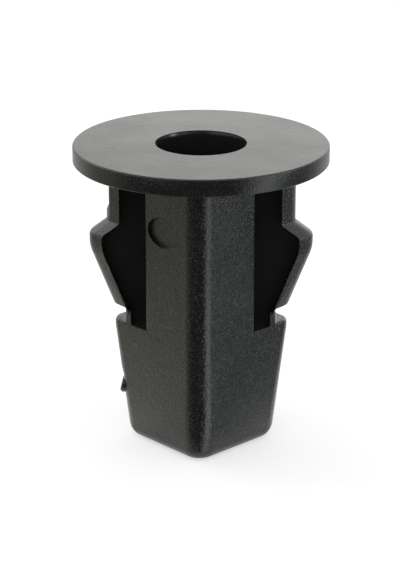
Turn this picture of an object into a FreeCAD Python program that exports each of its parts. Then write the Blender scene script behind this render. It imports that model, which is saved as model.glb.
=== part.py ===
import FreeCAD, Part
import math
import os
from types import SimpleNamespace

import Sketcher

# Bumper clip: a one-piece moulded grommet. A round head carries a square shank that stands
# corner-on, with a chevron snap arm on its left and right corners and a tapered nose below.
# Millimetres. Z runs up the shank axis from the nose end; X runs through the two arms, and
# the mould opens along Y, so the windows beside the arms and the arms' notches run along Y.

SIZES = [
    ("flange_diameter", 19.0, "outside of the round head"),
    ("flange_thickness", 1.3, "head, top to underside"),
    ("flange_edge_bevel", 0.1, "bevel of the head's two rim edges"),
    ("window_length", 12.51, "head underside to window floor"),
    ("collar_height", 0.53, "straight band between the nose and the window floor"),
    ("nose_height", 9.0, "tapered lower end of the shank"),
    ("shank_width", 9.8, "square shank across its flats"),
    ("shank_corner_round", 1.4, "front and back corners of the shank"),
    ("side_corner_round", 1.05, "left and right corners of the shank"),
    ("nose_end_width", 8.57, "square end across its flats"),
    ("nose_corner_round", 1.6, "corners of the square end"),
    ("nose_end_round", 0.95, "rounding round the end face"),
    ("nose_side_round", 2.05, "fuller rounding of the end's left and right corners"),
    ("column_width", 8.04, "front and back columns, between the windows"),
    ("column_edge_bevel", 0.1, "bevel of the columns' upright edges"),
    ("leg_proud", 0.12, "leg crest beyond the shank's sharp corner"),
    ("grip_length", 4.58, "head underside to the arm's shoulder"),
    ("barb_proud", 1.32, "barb crest beyond the leg crest"),
    ("shoulder_drop", 0.99, "fall of the sloped shoulder"),
    ("barb_land", 1.11, "upright stretch at the barb crest"),
    ("ramp_foot_inset", 0.495, "ramp foot inside the shank's side corner"),
    ("strip_depth", 1.05, "arm strip, crest to inner side"),
    ("strip_crest_round", 1.4, "rounded crest of the arm strip"),
    ("strip_edge_bevel", 0.06, "bevel of the arm strip's two inner edges"),
    ("shoulder_root_round", 0.25, "inside bend between leg and shoulder"),
    ("barb_top_round", 0.5, "bend from the shoulder to the barb crest"),
    ("barb_low_round", 2.5, "bend from the barb crest to the ramp"),
    ("web_thickness", 1.0, "web that closes the windows at the parting plane"),
    ("foot_lap", 0.15, "overlap of arm, foot and collar"),
    ("ledge_rise", 0.07, "ledge under the notch above the window floor"),
    ("notch_height", 1.26, "notch, ledge to the ramp's end"),
    ("notch_flare", 0.08, "rise of the ramp's end towards its crest"),
    ("notch_root_round", 0.15, "rounding of the notch's two inner corners"),
    ("hinge_inset", 1.25, "hinge's inner side, inside the shank's side corner"),
    ("hinge_thickness", 0.36, "thin wall that joins the ramp to its foot"),
    ("hinge_neck", 0.3, "height over which the hinge spreads into the ramp"),
    ("ledge_edge_round", 0.33, "rounding of the ledge's outer edge"),
    ("ramp_end_round", 0.2, "rounding of the ramp's lower end"),
    ("ledge_front_round", 0.15, "rounding of the ledge's front and back edges"),
    ("cut_run_out", 0.1, "run-out of a cut past the plastic"),
    ("mouth_diameter", 6.79, "mouth of the screw hole in the head"),
    ("mouth_depth", 0.12, "straight stretch of the mouth"),
    ("lead_in_depth", 0.25, "cone from the mouth to the screw entry"),
    ("head_bore_diameter", 6.5, "screw entry in the head"),
    ("head_bore_depth", 3.0, "depth of mouth and screw entry"),
    ("pilot_diameter", 4.2, "pilot bore that the screw cuts its thread in"),
    ("bore_cone_drop", 1.6, "cone between entry and pilot"),
    ("pin_mark_diameter", 2.3, "ejector pin mark on the left front face"),
    ("pin_mark_depth", 0.28, "depth of the pin mark, square to the face"),
    ("pin_mark_inset", 2.66, "pin mark centre, left of the axis"),
    ("pin_mark_drop", 4.38, "pin mark centre below the head underside"),
    ("gate_height", 4.05, "gate stub centre above the end"),
    ("gate_diameter", 1.25, "gate stub across"),
    ("gate_proud", 0.23, "gate stub beyond the corner, at its top"),
    ("gate_bevel", 0.15, "blunt edge of the gate stub"),
    ("gate_tear_depth", 0.16, "tear above the gate stub, into the corner"),
    ("gate_tear_rise", 0.8, "run of the tear above the stub"),
    ("flash_trim_depth", 0.22, "trimmed flash on the left leg"),
    ("flash_trim_length", 3.5, "trimmed stretch below the head underside"),
    ("flash_trim_fall", 0.35, "slope at the trimmed stretch's lower end"),
]

SHEET = "Sizes"
ORIGIN = -1
START, END, CENTRE = range(1, 4)
FULL_TURN = 360.0
FACE_TURN = 45.0
TOUCH = 1e-6


class Size:
    """A length with its number and the sheet formula that drives it."""

    def __init__(self, value, text):
        self.value = value
        self.text = text

    def joined(self, sign, other, value):
        return Size(value, f"({self.text} {sign} {as_size(other).text})")

    def __add__(self, other):
        return self.joined("+", other, self.value + as_size(other).value)

    def __sub__(self, other):
        return self.joined("-", other, self.value - as_size(other).value)

    def __mul__(self, other):
        return self.joined("*", other, self.value * as_size(other).value)

    def __truediv__(self, other):
        return self.joined("/", other, self.value / as_size(other).value)

    def __neg__(self):
        return Size(-self.value, f"(0 - {self.text})")


def as_size(length):
    if isinstance(length, Size):
        return length
    return Size(float(length), str(length))


ZERO = Size(0.0, "0")
ROOT_TWO = Size(math.sqrt(2.0), "sqrt(2)")


def write_sheet(doc):
    """Fills the sheet and gives each of its sizes back under its own name."""
    sheet = doc.addObject("Spreadsheet::Sheet", SHEET)
    for row, (name, value, meaning) in enumerate(SIZES, start=1):
        sheet.set(f"A{row}", meaning)
        sheet.set(f"B{row}", str(value))
        sheet.setAlias(f"B{row}", name)
    doc.recompute()
    return SimpleNamespace(**{name: Size(value, f"{SHEET}.{name}") for name, value, _ in SIZES})


def origin_feature(body, role):
    return next(item for item in body.Origin.OriginFeatures if item.Role == role)


def sketch_on(body, name, role, height=None):
    """Makes a sketch on one of the body's own planes, lifted along that plane's normal."""
    sketch = body.newObject("Sketcher::SketchObject", name)
    sketch.AttachmentSupport = [(origin_feature(body, role), "")]
    sketch.MapMode = "FlatFace"
    if height is not None:
        sketch.setExpression("AttachmentOffset.Base.z", height.text)
    return sketch


def pin_down(sketch, geometry, vertex, spot):
    """Ties a vertex to the sketch origin by its two distances."""
    for kind, length in zip(("DistanceX", "DistanceY"), spot):
        constraint = Sketcher.Constraint(kind, ORIGIN, START, geometry, vertex, length.value)
        index = sketch.addConstraint(constraint)
        sketch.setExpression(f"Constraints[{index}]", length.text)


def corner_arc(corner, before, after):
    """Gives a rounded corner's arc, its two ends and whether it turns left."""
    spot, radius = corner
    back = (before - spot).normalize()
    ahead = (after - spot).normalize()
    half = back.getAngle(ahead) / 2
    entry = spot + back * (radius / math.tan(half))
    leave = spot + ahead * (radius / math.tan(half))
    centre = spot + (back + ahead).normalize() * (radius / math.sin(half))
    turns_left = ahead.cross(back).z > 0
    first, last = (entry, leave) if turns_left else (leave, entry)
    angles = [math.atan2(end.y - centre.y, end.x - centre.x) for end in (first, last)]
    circle = Part.Circle(centre, FreeCAD.Vector(0, 0, 1), radius)
    return Part.ArcOfCircle(circle, *angles), entry, leave, turns_left


def outline(sketch, corners, closed=True):
    """Draws a chain of lines through corners (x, y) or (x, y, rounding), all bound to the sheet."""
    count = len(corners)
    spots = [FreeCAD.Vector(corner[0].value, corner[1].value, 0) for corner in corners]
    arcs = {}
    for index, corner in enumerate(corners):
        if len(corner) == 3:
            rounding = (spots[index], corner[2].value)
            arcs[index] = corner_arc(rounding, spots[index - 1], spots[(index + 1) % count])
    sides = count if closed else count - 1
    lines = []
    for index in range(sides):
        following = (index + 1) % count
        begin = arcs[index][2] if index in arcs else spots[index]
        finish = arcs[following][1] if following in arcs else spots[following]
        lines.append(sketch.addGeometry(Part.LineSegment(begin, finish)))
    for index, corner in enumerate(corners):
        if not closed and index == 0:
            pin_down(sketch, lines[0], START, corner)
            continue
        incoming = lines[index - 1]
        if not closed and index == count - 1:
            pin_down(sketch, incoming, END, corner)
            continue
        outgoing = lines[index]
        if index not in arcs:
            sketch.addConstraint(Sketcher.Constraint("Coincident", incoming, END, outgoing, START))
            pin_down(sketch, outgoing, START, corner)
            continue
        curve, _, _, turns_left = arcs[index]
        arc = sketch.addGeometry(curve)
        entry, leave = (START, END) if turns_left else (END, START)
        sketch.addConstraint(Sketcher.Constraint("Tangent", incoming, END, arc, entry))
        sketch.addConstraint(Sketcher.Constraint("Tangent", outgoing, START, arc, leave))
        radius = sketch.addConstraint(Sketcher.Constraint("Radius", arc, corner[2].value))
        sketch.setExpression(f"Constraints[{radius}]", corner[2].text)
        meeting = sketch.addGeometry(Part.Point(spots[index]), True)
        pin_down(sketch, meeting, START, corner)
        for line in (incoming, outgoing):
            sketch.addConstraint(Sketcher.Constraint("PointOnObject", meeting, START, line))


def circle(sketch, x, y, radius):
    """Draws one circle, its centre and radius bound to the sheet."""
    centre = FreeCAD.Vector(x.value, y.value, 0)
    ring = sketch.addGeometry(Part.Circle(centre, FreeCAD.Vector(0, 0, 1), radius.value))
    pin_down(sketch, ring, CENTRE, (x, y))
    index = sketch.addConstraint(Sketcher.Constraint("Radius", ring, radius.value))
    sketch.setExpression(f"Constraints[{index}]", radius.text)


def extrude(body, kind, name, sketch, length, symmetric=False, backwards=False):
    """Pads or pockets a sketch by a length of the sheet."""
    feature = body.newObject(f"PartDesign::{kind}", name)
    feature.Profile = sketch
    feature.Type = "Length"
    feature.SideType = "Symmetric" if symmetric else "One side"
    feature.Reversed = backwards
    feature.setExpression("Length", length.text)
    body.Document.recompute()
    return feature


def cut_through(body, name, sketch, s):
    """Cuts a sketch of the XZ plane right through the shank, both ways."""
    return with_less(extrude(body, "Pocket", name, sketch, s.shank_width * 2, symmetric=True))


def with_less(cut):
    """Passes a cut on once it has taken plastic away."""
    if cut.Shape.Volume >= cut.BaseFeature.Shape.Volume:
        raise RuntimeError(f"{cut.Name} cuts nothing")
    return cut


def edge_names(shape, chosen):
    """Names the edges of a shape that a test picks by their form and place."""
    return [f"Edge{number}" for number, edge in enumerate(shape.Edges, start=1) if chosen(edge)]


def round_edges(body, name, base, radius, chosen):
    """Rounds the edges of a feature that a test picks."""
    fillet = body.newObject("PartDesign::Fillet", name)
    fillet.Base = (base, edge_names(base.Shape, chosen))
    fillet.setExpression("Radius", radius.text)
    body.Document.recompute()
    return fillet


def bevel_edges(body, name, base, size, chosen):
    """Bevels the edges of a feature that a test picks."""
    bevel = body.newObject("PartDesign::Chamfer", name)
    bevel.Base = (base, edge_names(base.Shape, chosen))
    bevel.setExpression("Size", size.text)
    body.Document.recompute()
    return bevel


def places(s):
    """Works out the heights and reaches that the clip's parts share."""
    p = SimpleNamespace()
    p.floor = s.nose_height + s.collar_height
    p.underside = p.floor + s.window_length
    p.top = p.underside + s.flange_thickness
    p.sharp_corner = s.shank_width / ROOT_TWO
    p.side_corner = p.sharp_corner - s.side_corner_round * (ROOT_TWO - 1)
    p.end_corner = s.nose_end_width / ROOT_TWO
    p.end_side = p.end_corner - s.nose_corner_round * (ROOT_TWO - 1)
    p.column_edge = s.column_width / 2
    p.leg_reach = p.sharp_corner + s.leg_proud
    p.barb_reach = p.leg_reach + s.barb_proud
    p.shoulder = p.underside - s.grip_length
    p.barb_top = p.shoulder - s.shoulder_drop
    p.barb_low = p.barb_top - s.barb_land
    p.ramp_foot = p.floor - s.foot_lap
    p.ramp_foot_reach = p.side_corner - s.ramp_foot_inset
    p.ledge = p.floor + s.ledge_rise
    p.ramp_end = p.ledge + s.notch_height
    p.hinge_inner = p.side_corner - s.hinge_inset
    return p


def ramp_reach(p, height):
    """Gives the ramp crest's distance from the axis at a height."""
    share = (height - p.ramp_foot) / (p.barb_low - p.ramp_foot)
    return p.ramp_foot_reach + (p.barb_reach - p.ramp_foot_reach) * share


def rounded_square(sketch, corner, side_round, face_round):
    """Draws a square that stands on its corner, with its own side and front roundings."""
    outline(sketch, [
        (corner, ZERO, side_round),
        (ZERO, corner, face_round),
        (-corner, ZERO, side_round),
        (ZERO, -corner, face_round),
    ])


def add_shank(body, s, p):
    """The tapered nose, then the straight square shank up into the head."""
    end = sketch_on(body, "nose_end_outline", "XY_Plane")
    rounded_square(end, p.end_corner, s.nose_corner_round, s.nose_corner_round)
    square = sketch_on(body, "shank_outline", "XY_Plane", s.nose_height)
    rounded_square(square, p.sharp_corner, s.side_corner_round, s.shank_corner_round)
    nose = body.newObject("PartDesign::AdditiveLoft", "nose")
    nose.Profile = square
    nose.Sections = [(end, [""])]
    nose.Ruled = True
    body.Document.recompute()
    round_edges(body, "nose_end_rounding", nose, s.nose_end_round, lies_on_end)
    round_end_corners(body, s, p)
    shank_length = s.collar_height + s.window_length + s.flange_thickness / 2
    return extrude(body, "Pad", "shank", square, shank_length)


def lies_on_end(edge):
    return abs(edge.BoundBox.ZMax) < TOUCH


def nose_reach(s, p, height):
    """Gives the nose's side corner's distance from the axis at a height."""
    return p.end_side + (p.side_corner - p.end_side) * height / s.nose_height


def round_end_corners(body, s, p):
    """Takes more off the end's left and right corners, along the mould's opening direction."""
    sketch = sketch_on(body, "nose_side_outline", "XZ_Plane")
    high = s.nose_side_round * 2
    beyond = p.sharp_corner
    inner = p.end_side - s.nose_side_round * 2
    for side in (1, -1):
        outline(sketch, [
            (beyond * side, high),
            ((nose_reach(s, p, high) + s.cut_run_out) * side, high),
            ((p.end_side + s.cut_run_out) * side, -s.cut_run_out, s.nose_side_round),
            (inner * side, -s.cut_run_out),
            (inner * side, -s.nose_side_round),
            (beyond * side, -s.nose_side_round),
        ])
    return cut_through(body, "nose_side_rounding", sketch, s)


def cut_windows(body, s, p):
    """Both windows, cut through along the mould's opening direction, beside the arms' hinges."""
    sketch = sketch_on(body, "window_outline", "XZ_Plane")
    beyond = p.sharp_corner + s.barb_proud
    neck_low = p.ramp_end - s.hinge_neck
    neck_top = p.ramp_end + s.hinge_neck
    neck_reach = ramp_reach(p, neck_top) - s.strip_depth + s.foot_lap
    for side in (1, -1):
        outline(sketch, [
            (p.column_edge * side, p.underside),
            (p.column_edge * side, p.floor),
            (p.hinge_inner * side, p.floor),
            (p.hinge_inner * side, neck_low),
            (neck_reach * side, neck_top),
            (beyond * side, neck_top),
            (beyond * side, p.underside),
        ])
    windows = cut_through(body, "windows", sketch, s)
    face_depth = p.sharp_corner.value - p.column_edge.value

    def on_column_edge(edge):
        box = edge.BoundBox
        upright = box.XLength < TOUCH and box.YLength < TOUCH
        beside = abs(abs(box.XMax) - p.column_edge.value) < TOUCH
        return upright and beside and abs(abs(box.YMax) - face_depth) < TOUCH

    return bevel_edges(body, "column_edge_bevels", windows, s.column_edge_bevel, on_column_edge)


def add_flange(body, s, p):
    """The round head with both rim edges bevelled."""
    sketch = sketch_on(body, "flange_outline", "XY_Plane", p.underside)
    circle(sketch, ZERO, ZERO, s.flange_diameter / 2)
    flange = extrude(body, "Pad", "flange", sketch, s.flange_thickness)
    rim = s.flange_diameter.value / 2

    def on_rim(edge):
        return isinstance(edge.Curve, Part.Circle) and abs(edge.Curve.Radius - rim) < TOUCH

    return bevel_edges(body, "flange_rim_bevel", flange, s.flange_edge_bevel, on_rim)


def add_arm(body, s, p):
    """The right arm: a corner-shaped strip down its chevron path, trimmed at its hinge, and the web."""
    path = sketch_on(body, "arm_path", "XZ_Plane")
    outline(path, [
        (p.leg_reach, p.underside + s.flange_thickness / 2),
        (p.leg_reach, p.shoulder, s.shoulder_root_round),
        (p.barb_reach, p.barb_top, s.barb_top_round),
        (p.barb_reach, p.barb_low, s.barb_low_round),
        (p.ramp_foot_reach, p.ramp_foot),
    ], closed=False)
    section = sketch_on(body, "arm_section", "XY_Plane", p.underside + s.flange_thickness / 2)
    crest = p.leg_reach + s.strip_crest_round * (ROOT_TWO - 1)
    inner = p.leg_reach - s.strip_depth
    half_width = crest - inner
    blunt = s.strip_edge_bevel / ROOT_TWO
    outline(section, [
        (inner, s.strip_edge_bevel - half_width),
        (inner + blunt, blunt - half_width),
        (crest, ZERO, s.strip_crest_round),
        (inner + blunt, half_width - blunt),
        (inner, half_width - s.strip_edge_bevel),
    ])
    strip = body.newObject("PartDesign::AdditivePipe", "arm_strip")
    strip.Profile = section
    strip.Spine = (path, [])
    strip.Mode = "Fixed"
    body.Document.recompute()
    trim_outline = sketch_on(body, "hinge_trim_outline", "XZ_Plane")
    clear = p.column_edge + s.cut_run_out
    outline(trim_outline, [
        (clear, p.floor),
        (p.hinge_inner, p.floor),
        (p.hinge_inner, p.ramp_end),
        (clear, p.ramp_end),
    ])
    trim = cut_through(body, "hinge_trim", trim_outline, s)
    web_outline = sketch_on(body, "web_outline", "XZ_Plane")
    half_strip = s.strip_depth / 2
    root = p.column_edge - s.foot_lap
    outline(web_outline, [
        (root, p.underside + s.foot_lap),
        (root, p.floor - s.foot_lap),
        (p.ramp_foot_reach - half_strip, p.floor - s.foot_lap),
        (p.barb_reach - half_strip, p.barb_low),
        (p.barb_reach - half_strip, p.barb_top),
        (p.leg_reach - half_strip, p.shoulder),
        (p.leg_reach - half_strip, p.underside + s.foot_lap),
    ])
    web = extrude(body, "Pad", "arm_web", web_outline, s.web_thickness, symmetric=True)
    return [strip, trim, web]


def cut_notch(body, s, p):
    """The slot between the ramp's end and its foot, which leaves the arm a thin hinge."""
    sketch = sketch_on(body, "notch_outline", "XZ_Plane")
    root = p.hinge_inner + s.hinge_thickness
    ramp_lip = p.ramp_end + s.notch_flare
    mouth_top = ramp_lip + s.notch_height
    mouth_low = p.ledge - s.notch_height
    beyond = p.barb_reach + s.barb_proud
    outline(sketch, [
        (root, p.ledge, s.notch_root_round),
        (p.side_corner, p.ledge, s.ledge_edge_round),
        (p.side_corner + s.cut_run_out, mouth_low),
        (beyond, mouth_low),
        (beyond, mouth_top),
        (ramp_reach(p, mouth_top) + s.cut_run_out, mouth_top),
        (ramp_reach(p, ramp_lip), ramp_lip, s.ramp_end_round),
        (root, p.ramp_end, s.notch_root_round),
    ])
    return cut_through(body, "notch", sketch, s)


def mirror_arm(body, features):
    """The left arm, as the mirror image of the right one."""
    mirrored = body.newObject("PartDesign::Mirrored", "left_arm")
    mirrored.Originals = features
    mirrored.MirrorPlane = (origin_feature(body, "YZ_Plane"), [""])
    body.Tip = mirrored
    body.Document.recompute()
    return mirrored


def round_ledges(body, base, s, p):
    """Rounds the front and back edges of the ledges below the notches."""
    def on_ledge(edge):
        box = edge.BoundBox
        level = abs(box.ZMin - p.ledge.value) < TOUCH and abs(box.ZMax - p.ledge.value) < TOUCH
        return level and box.YLength > TOUCH and abs(box.XLength - box.YLength) < TOUCH

    return round_edges(body, "ledge_rounding", base, s.ledge_front_round, on_ledge)


def cut_bore(body, s, p):
    """The stepped screw bore, turned about the shank axis."""
    sketch = sketch_on(body, "bore_outline", "XZ_Plane")
    mouth = s.mouth_diameter / 2
    entry = s.head_bore_diameter / 2
    pilot = s.pilot_diameter / 2
    step = p.top - s.head_bore_depth
    mouth_low = p.top - s.mouth_depth
    outline(sketch, [
        (ZERO, ZERO),
        (pilot, ZERO),
        (pilot, step - s.bore_cone_drop),
        (entry, step),
        (entry, mouth_low - s.lead_in_depth),
        (mouth, mouth_low),
        (mouth, p.top),
        (ZERO, p.top),
    ])
    bore = body.newObject("PartDesign::Groove", "screw_bore")
    bore.Profile = sketch
    bore.ReferenceAxis = (sketch, ["V_Axis"])
    bore.Angle = FULL_TURN
    body.Document.recompute()
    return with_less(bore)


def cut_pin_mark(body, s, p):
    """The ejector pin's mark, sunk along the opening direction to a floor parallel to the face."""
    floor_plane = body.newObject("PartDesign::Plane", "pin_mark_floor")
    floor_plane.AttachmentSupport = [(origin_feature(body, "XZ_Plane"), "")]
    floor_plane.MapMode = "FlatFace"
    turn = FreeCAD.Rotation(FreeCAD.Vector(0, 1, 0), -FACE_TURN)
    floor_plane.AttachmentOffset = FreeCAD.Placement(FreeCAD.Vector(), turn)
    sunk = (s.shank_width / 2 - s.pin_mark_depth) / ROOT_TWO
    floor_plane.setExpression("AttachmentOffset.Base.x", (-sunk).text)
    floor_plane.setExpression("AttachmentOffset.Base.z", sunk.text)
    sketch = sketch_on(body, "pin_mark_outline", "XZ_Plane", p.sharp_corner)
    circle(sketch, -s.pin_mark_inset, p.underside - s.pin_mark_drop, s.pin_mark_diameter / 2)
    mark = body.newObject("PartDesign::Pocket", "pin_mark")
    mark.Profile = sketch
    mark.Type = "UpToFace"
    mark.UpToFace = (floor_plane, [""])
    body.Document.recompute()
    return with_less(mark)


def add_gate_stub(body, s, p):
    """The round stub on the nose's left corner, torn off aslant where the gate broke away."""
    sketch = sketch_on(body, "gate_outline", "YZ_Plane")
    circle(sketch, ZERO, s.gate_height, s.gate_diameter / 2)
    reach = nose_reach(s, p, s.gate_height + s.gate_diameter / 2) + s.gate_proud
    stub = extrude(body, "Pad", "gate_stub", sketch, reach, backwards=True)

    def on_stub_end(edge):
        return abs(edge.BoundBox.XMax + reach.value) < TOUCH

    bevel_edges(body, "gate_stub_bevel", stub, s.gate_bevel, on_stub_end)
    lip = s.gate_height - s.gate_diameter / 4
    root = s.gate_height + s.gate_diameter / 2 + s.gate_tear_rise / 2
    top = root + s.gate_tear_rise
    beyond = -(reach + s.gate_proud)
    tear = sketch_on(body, "gate_tear_outline", "XZ_Plane")
    outline(tear, [
        (-reach, lip),
        (s.gate_tear_depth - nose_reach(s, p, root), root),
        (-nose_reach(s, p, top), top),
        (beyond, top),
        (beyond, lip),
    ])
    return cut_through(body, "gate_tear", tear, s)


def trim_flash(body, s, p):
    """The shallow trimmed step on the left leg, under the head."""
    sketch = sketch_on(body, "flash_trim_outline", "XZ_Plane")
    trimmed = -(p.leg_reach - s.flash_trim_depth)
    beyond = -p.barb_reach
    low = p.underside - s.flash_trim_length
    outline(sketch, [
        (trimmed, p.underside),
        (beyond, p.underside),
        (beyond, low - s.flash_trim_fall),
        (-p.leg_reach, low - s.flash_trim_fall),
        (trimmed, low),
    ])
    return cut_through(body, "flash_trim", sketch, s)


def check_sound(doc, body):
    """Stops before anything is written if a step failed or the solid is not whole."""
    for item in doc.Objects:
        if "Invalid" in item.State or "Error" in item.State:
            raise RuntimeError(f"{item.Name} failed: {item.State}")
    if body.Shape.isNull() or not body.Shape.isValid() or len(body.Shape.Solids) != 1:
        raise RuntimeError(f"{body.Label} is not one sound solid")


def build():
    """Builds the clip in the order a moulder would read it: shank, head, arms, marks and bore."""
    doc = FreeCAD.newDocument("bumper_clip")
    s = write_sheet(doc)
    p = places(s)
    body = doc.addObject("PartDesign::Body", "clip_body")
    body.Label = "clip_body"
    add_shank(body, s, p)
    cut_windows(body, s, p)
    add_flange(body, s, p)
    arm = add_arm(body, s, p)
    notch = cut_notch(body, s, p)
    both_arms = mirror_arm(body, arm + [notch])
    round_ledges(body, both_arms, s, p)
    trim_flash(body, s, p)
    add_gate_stub(body, s, p)
    cut_bore(body, s, p)
    cut_pin_mark(body, s, p)
    check_sound(doc, body)
    return body


clip = build()
os.makedirs("parts", exist_ok=True)
clip.Shape.exportStep(f"parts/{clip.Label}.step")
print(clip.Label, "volume", round(clip.Shape.Volume, 2), "box", clip.Shape.BoundBox)
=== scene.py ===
# %% [markdown]
# # A moulded bumper clip
# The part is one injection moulding in black plastic: a round head with a screw hole, a square
# shank with a snap arm on two of its corners, and a tapered nose. The shape itself comes ready made
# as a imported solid, so this lesson is about what a solid lacks: clean shading, a moulded surface
# and studio light. First the solid is loaded, and its box is kept, because nothing that follows may
# change the size of the part.

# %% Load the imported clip
import math

import bmesh
import bpy
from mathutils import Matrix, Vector


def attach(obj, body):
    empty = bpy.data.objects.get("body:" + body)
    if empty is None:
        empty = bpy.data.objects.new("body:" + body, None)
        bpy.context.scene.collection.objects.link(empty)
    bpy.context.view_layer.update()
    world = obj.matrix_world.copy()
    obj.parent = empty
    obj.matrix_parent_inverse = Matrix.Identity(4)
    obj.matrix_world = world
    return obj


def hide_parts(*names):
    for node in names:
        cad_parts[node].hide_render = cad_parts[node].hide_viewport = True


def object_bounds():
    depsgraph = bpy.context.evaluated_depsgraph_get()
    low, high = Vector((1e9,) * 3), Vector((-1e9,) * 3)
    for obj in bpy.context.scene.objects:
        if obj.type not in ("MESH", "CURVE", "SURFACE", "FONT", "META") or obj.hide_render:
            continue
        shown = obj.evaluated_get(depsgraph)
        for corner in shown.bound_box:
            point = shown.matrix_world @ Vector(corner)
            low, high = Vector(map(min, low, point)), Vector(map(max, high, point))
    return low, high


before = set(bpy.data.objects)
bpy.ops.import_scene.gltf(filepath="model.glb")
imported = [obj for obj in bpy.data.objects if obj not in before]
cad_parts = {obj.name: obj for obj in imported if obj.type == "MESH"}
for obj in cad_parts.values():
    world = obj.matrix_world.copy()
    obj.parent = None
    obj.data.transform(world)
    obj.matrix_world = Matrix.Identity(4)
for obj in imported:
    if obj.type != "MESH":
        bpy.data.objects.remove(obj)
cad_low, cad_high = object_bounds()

MILLIMETRE = 0.001
BODY = "root"
NODE = "clip_body"

clip_height = cad_high.z
print("clip height in mm", round(clip_height / MILLIMETRE, 2))

# %% [markdown]
# ## The camera
# The photograph was taken from close by, so its perspective is strong: the far edge of the head
# looks smaller than the near one. A long lens from far away would lose that. The camera therefore
# stands 159 mm from the clip, looks down by about 20 degrees, and its lens follows from the size of
# the clip in the picture. The focal length is first written in pixels and then turned into
# millimetres on Blender's 36 mm sensor, whose width lies along the longer side of the picture.

# %% Set up the camera
PICTURE_HEIGHT = 570
FOCAL_PIXELS = 2101.1
SENSOR = 36.0
CAMERA_DISTANCE = 158.8 * MILLIMETRE
CAMERA_ELEVATION = math.radians(19.743)
CAMERA_YAW = math.radians(1.711)
AIM_BELOW_HEAD = 11.159 * MILLIMETRE
AIM_LEFT = 0.079 * MILLIMETRE


def direction_from(azimuth, elevation):
    """The unit vector towards a viewer: azimuth 0 is the -Y side, positive towards +X."""
    level = math.cos(elevation)
    return Vector((math.sin(azimuth) * level, -math.cos(azimuth) * level, math.sin(elevation)))


def look_from(thing, place, target):
    """Put a camera or a lamp at a place, with its -Z axis towards a target."""
    thing.location = place
    thing.rotation_euler = (target - place).to_track_quat("-Z", "Y").to_euler()


aim = Vector((-AIM_LEFT, 0.0, clip_height - AIM_BELOW_HEAD))
camera_data = bpy.data.cameras.new("photo_camera")
camera_data.sensor_width = SENSOR
camera_data.lens = FOCAL_PIXELS / PICTURE_HEIGHT * SENSOR
camera_data.clip_start = MILLIMETRE
camera = bpy.data.objects.new("photo_camera", camera_data)
bpy.context.scene.collection.objects.link(camera)
look_from(camera, aim + CAMERA_DISTANCE * direction_from(CAMERA_YAW, CAMERA_ELEVATION), aim)
bpy.context.scene.camera = camera
bpy.context.scene.view_settings.view_transform = "Standard"
print("lens in mm", round(camera_data.lens, 1))

# %% [markdown]
# ## The table and the white room
# A pale table carries the clip and catches a soft shadow. The room around it is white. To the
# camera and in reflections both show at full white, and to all other rays they are dimmer, so that
# the background is clean without more light falling on the clip.

# %% Make the table and the room
FLOOR_SIDE = 3.0
FLOOR_COLOUR = (0.8, 0.8, 0.8, 1.0)
FLOOR_LIFT = 0.56
ROOM_LIGHT = 0.6
ROOM_COLOUR = (1.0, 1.0, 1.0, 1.0)


def math_node(nodes, links, operation, first, second=None):
    """A maths node on one or two sockets."""
    node = nodes.new("ShaderNodeMath")
    node.operation = operation
    links.new(first, node.inputs[0])
    if second is not None:
        links.new(second, node.inputs[1])
    return node.outputs[0]


def seen_directly(nodes, links):
    """A socket that is 1 for camera, glossy and transmission rays, which show the background."""
    rays = nodes.new("ShaderNodeLightPath").outputs
    shown = math_node(nodes, links, "MAXIMUM", rays["Is Camera Ray"], rays["Is Glossy Ray"])
    return math_node(nodes, links, "MAXIMUM", shown, rays["Is Transmission Ray"])


def scaled(nodes, links, socket, gain, offset=0.0):
    """A socket times a gain, plus an offset."""
    node = nodes.new("ShaderNodeMath")
    node.operation = "MULTIPLY_ADD"
    links.new(socket, node.inputs[0])
    node.inputs[1].default_value = gain
    node.inputs[2].default_value = offset
    return node.outputs[0]


def pale_floor_material():
    """Matt pale floor that lifts to white where the camera or a reflection sees it."""
    material = bpy.data.materials.new("pale_floor")
    material.use_nodes = True
    nodes, links = material.node_tree.nodes, material.node_tree.links
    shader = nodes["Principled BSDF"]
    shader.inputs["Base Color"].default_value = FLOOR_COLOUR
    shader.inputs["Roughness"].default_value = 1.0
    shader.inputs["Specular IOR Level"].default_value = 0.0
    shader.inputs["Emission Color"].default_value = ROOM_COLOUR
    lift = scaled(nodes, links, seen_directly(nodes, links), FLOOR_LIFT)
    links.new(lift, shader.inputs["Emission Strength"])
    return material


bpy.ops.mesh.primitive_plane_add(size=FLOOR_SIDE, location=(0.0, 0.0, cad_low.z))
floor = bpy.context.object
floor.name = "floor"
floor.data.materials.append(pale_floor_material())

world = bpy.data.worlds.new("white_room")
bpy.context.scene.world = world
world.use_nodes = True
room = world.node_tree
background = room.nodes["Background"]
background.inputs["Color"].default_value = ROOM_COLOUR
shown_ray = seen_directly(room.nodes, room.links)
room_strength = scaled(room.nodes, room.links, shown_ray, 1.0 - ROOM_LIGHT, ROOM_LIGHT)
room.links.new(room_strength, background.inputs["Strength"])
print("floor side in m", FLOOR_SIDE, "room light", ROOM_LIGHT)
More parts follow.
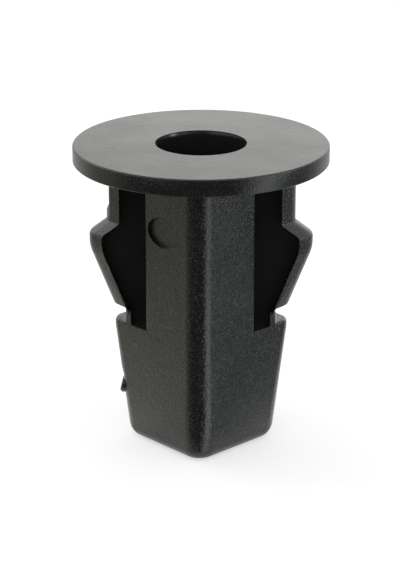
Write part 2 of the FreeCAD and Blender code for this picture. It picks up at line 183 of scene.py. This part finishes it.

# %% [markdown]
# ## The glowing reflection card
# A glossy black part shows what lies around it. A black corner that mirrors a white table looks
# grey and flat, so studios lay cards round such a part. Here one round card glows, though it is no
# lamp, and only reflections see it, so it paints the reflections on the clip. Its tone changes with
# the angle round the near corner: grey at the left, right and back, which paints the tone of the
# side faces and the arms, black in front, which paints a dark band of shade on the near corner, and
# bright at the front right, which paints the sharp highlight line beside that corner. The black
# starts softly at the left and ends sharply at the right. A radial gradient gives the angle, a
# mapping node puts its centre at the corner, and a colour ramp holds the tones. The card's glow
# also fades outwards, so the upper part of the clip is painted darker in its reflections.

# %% Lay the glowing card that paints the reflections
CARD_INNER = 6.4 * MILLIMETRE
CARD_OUTER = 400.0 * MILLIMETRE
CARD_CORNERS = 72
GRADIENT_START = -90.0
FULL_TURN = 360.0
CARD_LIFT = 0.05 * MILLIMETRE
CARD_FADE = 60.0 * MILLIMETRE
NEAR_CORNER = 6.2 * MILLIMETRE
CARD_NEAR = 4.0
CARD_FAR = 2.2
BLACK = (0.0, 0.0, 0.0, 1.0)
LEFT_TONE = (0.186, 0.192, 0.152, 1.0)
PAINTED_SHADE_TONE = (0.004, 0.005, 0.006, 1.0)
PAINTED_HIGHLIGHT_TONE = (0.73, 0.75, 0.76, 1.0)
RIGHT_TONE = (0.064, 0.074, 0.076, 1.0)
BACK_TONE = (0.32, 0.33, 0.31, 1.0)
# The tones paint the clip's reflections: the dark one paints shade on the near corner, the bright
# one its highlight line.
CARD_TONES = [
    (-90.0, LEFT_TONE),
    (-88.0, LEFT_TONE),
    (-62.0, PAINTED_SHADE_TONE),
    (48.0, PAINTED_SHADE_TONE),
    (50.0, PAINTED_HIGHLIGHT_TONE),
    (68.0, PAINTED_HIGHLIGHT_TONE),
    (80.0, RIGHT_TONE),
    (106.0, RIGHT_TONE),
    (130.0, BACK_TONE),
    (232.0, BACK_TONE),
    (254.0, LEFT_TONE),
]


def glowing_reflection_card_material():
    """A glow, seen only in reflections, whose tone follows the angle round the near corner and
    which fades outwards: it paints the clip's reflections, the near corner's shade and its
    highlight line.
    """
    material = bpy.data.materials.new("glowing_reflection_card")
    material.use_nodes = True
    nodes, links = material.node_tree.nodes, material.node_tree.links
    shader = nodes["Principled BSDF"]
    shader.inputs["Base Color"].default_value = BLACK
    shader.inputs["Specular IOR Level"].default_value = 0.0
    from_corner = nodes.new("ShaderNodeMapping")
    from_corner.inputs["Location"].default_value = (0.0, NEAR_CORNER, 0.0)
    links.new(nodes.new("ShaderNodeTexCoord").outputs["Object"], from_corner.inputs["Vector"])
    place = from_corner.outputs["Vector"]
    angle = nodes.new("ShaderNodeTexGradient")
    angle.gradient_type = "RADIAL"
    links.new(place, angle.inputs["Vector"])
    tones = nodes.new("ShaderNodeValToRGB")
    stops = tones.color_ramp.elements
    stops.remove(stops[1])
    for number, (azimuth, colour) in enumerate(CARD_TONES):
        place_on_ramp = (azimuth - GRADIENT_START) / FULL_TURN
        stop = stops.new(place_on_ramp) if number else stops[0]
        stop.color = colour
    links.new(angle.outputs["Fac"], tones.inputs["Fac"])
    links.new(tones.outputs["Color"], shader.inputs["Emission Color"])
    reach = nodes.new("ShaderNodeVectorMath")
    reach.operation = "LENGTH"
    links.new(place, reach.inputs[0])
    fade = nodes.new("ShaderNodeMapRange")
    fade.inputs["From Max"].default_value = CARD_FADE
    fade.inputs["To Min"].default_value = CARD_NEAR
    fade.inputs["To Max"].default_value = CARD_FAR
    links.new(reach.outputs["Value"], fade.inputs["Value"])
    links.new(fade.outputs["Result"], shader.inputs["Emission Strength"])
    return material


def flat_ring(name, inner, outer, height):
    """A flat ring round the clip's axis."""
    points, faces = [], []
    for corner in range(CARD_CORNERS):
        away = direction_from(math.tau * corner / CARD_CORNERS, 0.0)
        points += [(away.x * radius, away.y * radius, height) for radius in (inner, outer)]
        following = (corner + 1) % CARD_CORNERS
        faces.append((2 * corner, 2 * corner + 1, 2 * following + 1, 2 * following))
    mesh = bpy.data.meshes.new(name)
    mesh.from_pydata(points, [], faces)
    ring = bpy.data.objects.new(name, mesh)
    bpy.context.scene.collection.objects.link(ring)
    return ring


def only_in_reflections(thing):
    """Hide a card from the camera and from the light, and keep it in reflections."""
    thing.visible_camera = False
    thing.visible_diffuse = False
    thing.visible_shadow = False


# A glowing ring seen only in reflections: it paints the shade and the highlight line of the near
# corner.
glowing_reflection_card = flat_ring("glowing_reflection_card", CARD_INNER, CARD_OUTER, cad_low.z + CARD_LIFT)
glowing_reflection_card.data.materials.append(glowing_reflection_card_material())
only_in_reflections(glowing_reflection_card)
print("studio card tones", len(CARD_TONES))

# %% [markdown]
# ## The black flag
# The grain on the plastic also mirrors what lies above the table. Photographers stand a black card,
# which they call a flag, between a part and the camera. This one blocks no light and casts no
# shadow: it is a plain upright panel that only reflections see, so it paints shade into them and
# keeps the near corner dark all the same.

# %% Stand the flag in front
FLAG_DISTANCE = 90.0 * MILLIMETRE
FLAG_LEFT = -38.0 * MILLIMETRE
FLAG_RIGHT = 64.0 * MILLIMETRE
FLAG_HEIGHT = 45.0 * MILLIMETRE


def painted_shade_flag_material():
    """Dull black card, seen only in reflections, where it paints shade on the near corner."""
    material = bpy.data.materials.new("painted_shade_flag")
    material.use_nodes = True
    shader = material.node_tree.nodes["Principled BSDF"]
    shader.inputs["Base Color"].default_value = BLACK
    shader.inputs["Specular IOR Level"].default_value = 0.0
    return material


# A black panel seen only in reflections: it paints shade on the near corner.
flag_mesh = bpy.data.meshes.new("painted_shade_flag")
flag_top = cad_low.z + FLAG_HEIGHT
flag_corners = [
    (FLAG_LEFT, -FLAG_DISTANCE, cad_low.z),
    (FLAG_RIGHT, -FLAG_DISTANCE, cad_low.z),
    (FLAG_RIGHT, -FLAG_DISTANCE, flag_top),
    (FLAG_LEFT, -FLAG_DISTANCE, flag_top),
]
flag_mesh.from_pydata(flag_corners, [], [(0, 1, 2, 3)])
painted_shade_flag = bpy.data.objects.new("painted_shade_flag", flag_mesh)
bpy.context.scene.collection.objects.link(painted_shade_flag)
painted_shade_flag.data.materials.append(painted_shade_flag_material())
only_in_reflections(painted_shade_flag)
print("flag height in mm", round(FLAG_HEIGHT / MILLIMETRE, 1))

# %% [markdown]
# ## The lamps
# Black satin plastic shows hardly any colour of its own: what the eye reads is the reflection of
# the studio. Three lamps do the rest. A wide one behind gives the head its grey sheen, a small one
# low at the right makes the grain glint on the right face, and one at the left and behind lights
# the left arm.

# %% Hang the lamps
LAMP_TARGET = Vector((0.0, 0.0, clip_height / 2.0))


def soft_lamp(name, azimuth, elevation, distance, width, height, power, colour):
    """A rectangular softbox, turned to face the clip. Angles in degrees, lengths in metres."""
    data = bpy.data.lights.new(name, "AREA")
    data.shape = "RECTANGLE"
    data.size = width
    data.size_y = height
    data.energy = power
    data.color = colour
    lamp = bpy.data.objects.new(name, data)
    bpy.context.scene.collection.objects.link(lamp)
    away = direction_from(math.radians(azimuth), math.radians(elevation))
    look_from(lamp, LAMP_TARGET + distance * away, LAMP_TARGET)


soft_lamp(
    "back_softbox",
    azimuth=157.0, elevation=11.0, distance=0.6,
    width=0.66, height=0.22, power=0.3,
    colour=(1.0, 1.0, 0.9),
)
soft_lamp(
    "grain_lamp",
    azimuth=76.0, elevation=2.0, distance=0.5,
    width=0.1, height=0.1, power=0.37,
    colour=(0.96, 0.99, 1.0),
)
soft_lamp(
    "left_softbox",
    azimuth=-120.0, elevation=30.0, distance=0.5,
    width=0.3, height=0.3, power=0.35,
    colour=(1.0, 0.99, 0.95),
)

# %% [markdown]
# ## The moulded body
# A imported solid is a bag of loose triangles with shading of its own, so every facet of a rounding
# would show in a gloss. The body is therefore a new mesh from the solid's bare points and faces:
# shared points are merged, and the triangles of one flat face become one polygon. Smooth shading
# then runs across the roundings and the small bevels, and face weighted normals keep the large flat
# faces truly flat.

# %% Copy the solid and clean its shading
MERGE_DISTANCE = 0.0005 * MILLIMETRE
FLAT_ANGLE = math.radians(0.2)
SHARP_ANGLE = math.radians(48.0)


def merged_copy(source, name):
    """The source's points and faces as a new object, joined where they share points and planes."""
    mesh = bpy.data.meshes.new(name)
    points = [point.co for point in source.data.vertices]
    mesh.from_pydata(points, [], [tuple(face.vertices) for face in source.data.polygons])
    work = bmesh.new()
    work.from_mesh(mesh)
    bmesh.ops.remove_doubles(work, verts=work.verts, dist=MERGE_DISTANCE)
    bmesh.ops.dissolve_limit(work, angle_limit=FLAT_ANGLE, verts=work.verts, edges=work.edges)
    work.to_mesh(mesh)
    work.free()
    piece = bpy.data.objects.new(name, mesh)
    bpy.context.scene.collection.objects.link(piece)
    return piece


def smooth_between_edges(piece):
    """Smooth shading over the roundings, with the sharp edges and the flat faces kept."""
    piece.data.shade_smooth()
    piece.data.set_sharp_from_angle(angle=SHARP_ANGLE)
    weighted = piece.modifiers.new("flat_faces", "WEIGHTED_NORMAL")
    weighted.keep_sharp = True


moulding = merged_copy(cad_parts[NODE], "clip_moulding")
smooth_between_edges(moulding)
print("moulding points", len(moulding.data.vertices), "faces", len(moulding.data.polygons))

# %% [markdown]
# ## Black satin plastic
# Moulds for such parts are often spark eroded, which leaves a fine random grain, so the plastic
# glints where a grain tilts towards a lamp. The grain is one bump from noise, and the same noise
# paints the tips of the grain paler in the colour: painted glints, pale specks that stand in for
# that sparkle. It isn't equal everywhere: the head looks finer than the shank, and the webs behind
# the windows and the bore are taken as smooth. Four masks from the place on the clip weaken the
# grain there, and the painted glints with it. Pure black would look like a hole in the picture, so
# the colour is a very dark grey. A second, larger noise varies it a little, and the roughness with
# it, because a moulding never cools evenly.

# %% Mix the black plastic
PLASTIC_COLOUR = (0.0115, 0.0115, 0.0118, 1.0)
PLASTIC_PALER = (0.0165, 0.0165, 0.0168, 1.0)
# Painted glints: the grain's tips take this paler colour in place of sparkle from the lamps.
PAINTED_GLINT_COLOUR = (0.05, 0.05, 0.051, 1.0)
GLINT_FROM, GLINT_TO = 0.48, 0.76
MOTTLE_SIZE = 4.0 * MILLIMETRE
GRAIN_SIZE = 0.13 * MILLIMETRE
GRAIN_DETAIL = 1.0
GRAIN_HEIGHT = 0.04 * MILLIMETRE
SATIN_SMOOTH, SATIN_ROUGH = 0.215, 0.265
MOTTLE_FROM, MOTTLE_TO = 0.3, 0.7
WEB_FROM, WEB_TO = 0.52 * MILLIMETRE, 0.85 * MILLIMETRE
BORE_FROM, BORE_TO = 3.42 * MILLIMETRE, 3.6 * MILLIMETRE
HEAD_FROM = clip_height - 0.12 * MILLIMETRE
HEAD_TO = clip_height - 0.02 * MILLIMETRE
RIM_FROM, RIM_TO = 8.8 * MILLIMETRE, 9.3 * MILLIMETRE
HEAD_GRAIN = 0.3
RIM_GRAIN = 0.6
SMOOTH_GRAIN = 0.06


def ramp_between(nodes, links, socket, low, high, first, last):
    """Goes smoothly from one value to another while a socket goes from low to high."""
    node = nodes.new("ShaderNodeMapRange")
    node.interpolation_type = "SMOOTHSTEP"
    links.new(socket, node.inputs["Value"])
    node.inputs["From Min"].default_value = low
    node.inputs["From Max"].default_value = high
    node.inputs["To Min"].default_value = first
    node.inputs["To Max"].default_value = last
    return node.outputs["Result"]


def grain_strength(nodes, links, place):
    """Full grain on the outside, less on the head's top, hardly any on the webs and in the bore."""
    axes = nodes.new("ShaderNodeSeparateXYZ")
    links.new(place, axes.inputs[0])
    flat = nodes.new("ShaderNodeCombineXYZ")
    links.new(axes.outputs["X"], flat.inputs["X"])
    links.new(axes.outputs["Y"], flat.inputs["Y"])
    radius = nodes.new("ShaderNodeVectorMath")
    radius.operation = "LENGTH"
    links.new(flat.outputs[0], radius.inputs[0])
    depth = math_node(nodes, links, "ABSOLUTE", axes.outputs["Y"])
    outside = ramp_between(nodes, links, depth, WEB_FROM, WEB_TO, SMOOTH_GRAIN, 1.0)
    reach = radius.outputs["Value"]
    around = ramp_between(nodes, links, reach, BORE_FROM, BORE_TO, SMOOTH_GRAIN, 1.0)
    below = ramp_between(nodes, links, axes.outputs["Z"], HEAD_FROM, HEAD_TO, 1.0, HEAD_GRAIN)
    rim = ramp_between(nodes, links, reach, RIM_FROM, RIM_TO, 1.0, RIM_GRAIN)
    shank = math_node(nodes, links, "MULTIPLY", outside, around)
    head = math_node(nodes, links, "MULTIPLY", below, rim)
    return math_node(nodes, links, "MULTIPLY", shank, head)


def black_satin_plastic():
    """Very dark grey plastic with a fine grain, whose tips are painted paler as glints."""
    material = bpy.data.materials.new("black_satin_plastic")
    material.use_nodes = True
    nodes, links = material.node_tree.nodes, material.node_tree.links
    shader = nodes["Principled BSDF"]
    place = nodes.new("ShaderNodeTexCoord").outputs["Object"]
    mottle = nodes.new("ShaderNodeTexNoise")
    mottle.inputs["Scale"].default_value = 1.0 / MOTTLE_SIZE
    links.new(place, mottle.inputs["Vector"])
    clouds = mottle.outputs["Fac"]
    satin = ramp_between(nodes, links, clouds, MOTTLE_FROM, MOTTLE_TO, SATIN_SMOOTH, SATIN_ROUGH)
    links.new(satin, shader.inputs["Roughness"])
    tone = nodes.new("ShaderNodeMix")
    tone.data_type = "RGBA"
    tone.inputs["A"].default_value = PLASTIC_COLOUR
    tone.inputs["B"].default_value = PLASTIC_PALER
    links.new(clouds, tone.inputs["Factor"])
    grain = nodes.new("ShaderNodeTexNoise")
    grain.inputs["Scale"].default_value = 1.0 / GRAIN_SIZE
    grain.inputs["Detail"].default_value = GRAIN_DETAIL
    links.new(place, grain.inputs["Vector"])
    strength = grain_strength(nodes, links, place)
    # Painted glints: the highest tips of the grain are painted paler where the grain is strong.
    glint_mask = ramp_between(nodes, links, grain.outputs["Fac"], GLINT_FROM, GLINT_TO, 0.0, 1.0)
    painted_glints = nodes.new("ShaderNodeMix")
    painted_glints.data_type = "RGBA"
    painted_glints.inputs["B"].default_value = PAINTED_GLINT_COLOUR
    links.new(math_node(nodes, links, "MULTIPLY", glint_mask, strength), painted_glints.inputs["Factor"])
    links.new(tone.outputs["Result"], painted_glints.inputs["A"])
    links.new(painted_glints.outputs["Result"], shader.inputs["Base Color"])
    bump = nodes.new("ShaderNodeBump")
    bump.inputs["Distance"].default_value = GRAIN_HEIGHT
    links.new(strength, bump.inputs["Strength"])
    links.new(grain.outputs["Fac"], bump.inputs["Height"])
    links.new(bump.outputs["Normal"], shader.inputs["Normal"])
    return material


plastic = black_satin_plastic()
moulding.data.materials.clear()
moulding.data.materials.append(plastic)
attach(moulding, BODY)
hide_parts(NODE)
print("finish", plastic.name)
